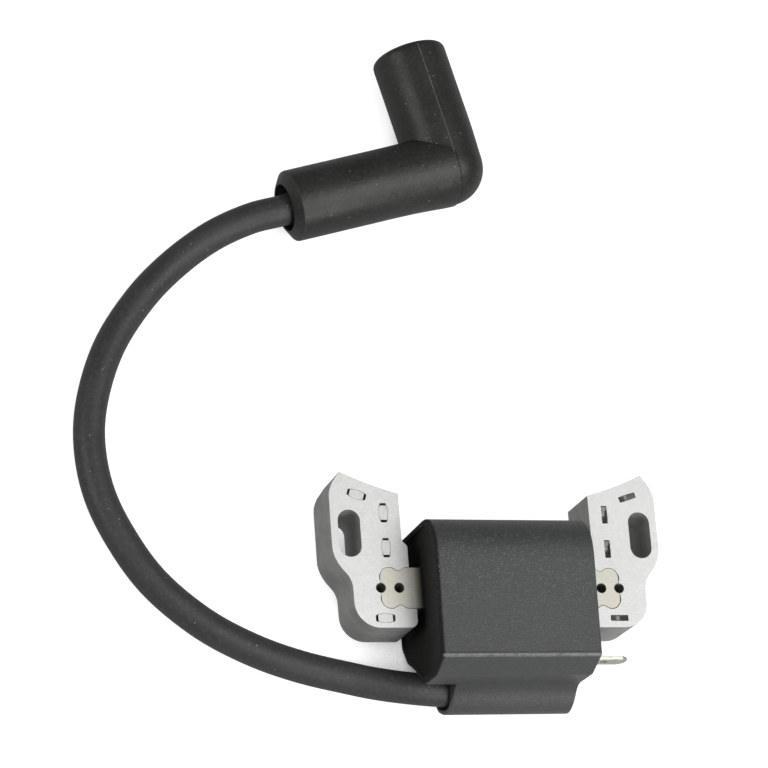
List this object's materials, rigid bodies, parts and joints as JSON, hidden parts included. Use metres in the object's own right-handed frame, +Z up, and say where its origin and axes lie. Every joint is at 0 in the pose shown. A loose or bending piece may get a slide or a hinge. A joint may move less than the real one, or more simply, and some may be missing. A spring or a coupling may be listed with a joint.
{
  "type": "ignition coil",
  "caption": "Small-engine ignition coil: laminated core with concave pole faces, potted black case, stop tab, looped high-tension lead and right-angle plug boot.",
  "frame": {"origin": "midway between the two mounting slots, on the laminations' seating face (the face the coil lies towards the bench with)", "axes": "+X along the core bar, +Y from the bar towards the flywheel, +Z up through the lamination stack, away from the seating face"},
  "size_m": [0.1259, 0.1556, 0.0295],
  "materials": {
    "lamination": "satin",
    "bar_lamination": "satin",
    "case_plastic": "matte",
    "resin": "satin",
    "bobbin_nylon": "satin",
    "enamelled_wire": "satin",
    "film": "gloss",
    "fine_wire": "satin",
    "board": "satin",
    "component_black": "matte",
    "resistor_ceramic": "satin",
    "capacitor_coat": "gloss",
    "brass_strip": "satin",
    "tinned_wire": "satin",
    "tinned_blade": "satin",
    "steel_pin": "satin",
    "lead_rubber": "satin",
    "plated_steel": "satin",
    "spring_steel": "satin",
    "boot_rubber": "satin"
  },
  "bodies": {
    "coil": {"pole_left": "lamination", "pole_right": "lamination", "core_bar": "bar_lamination", "coil_case": "case_plastic", "cast_resin": "resin", "primary_bobbin": "bobbin_nylon", "primary_winding": "enamelled_wire", "winding_film": "film", "secondary_bobbin": "bobbin_nylon", "secondary_winding": "fine_wire", "circuit_board": "board", "switching_transistor": "component_black", "board_resistors": "resistor_ceramic", "board_capacitor": "capacitor_coat", "primary_leads": "enamelled_wire", "earth_strip": "brass_strip", "tab_wire": "tinned_wire", "stop_tab": "tinned_blade", "tension_link": "enamelled_wire", "tower_spike": "steel_pin", "ignition_lead": "lead_rubber"},
    "boot": {"plug_boot": "boot_rubber", "plug_terminal": "plated_steel", "terminal_spring": "spring_steel"}
  },
  "joints": [
    {"name": "boot_turn", "type": "hinge", "parent": "coil", "child": "boot", "pos_m": [-0.03922, 0.07826, 0.003], "axis": [0.9627, 0.2706, 0], "range_deg": [0, 90]}
  ]
}
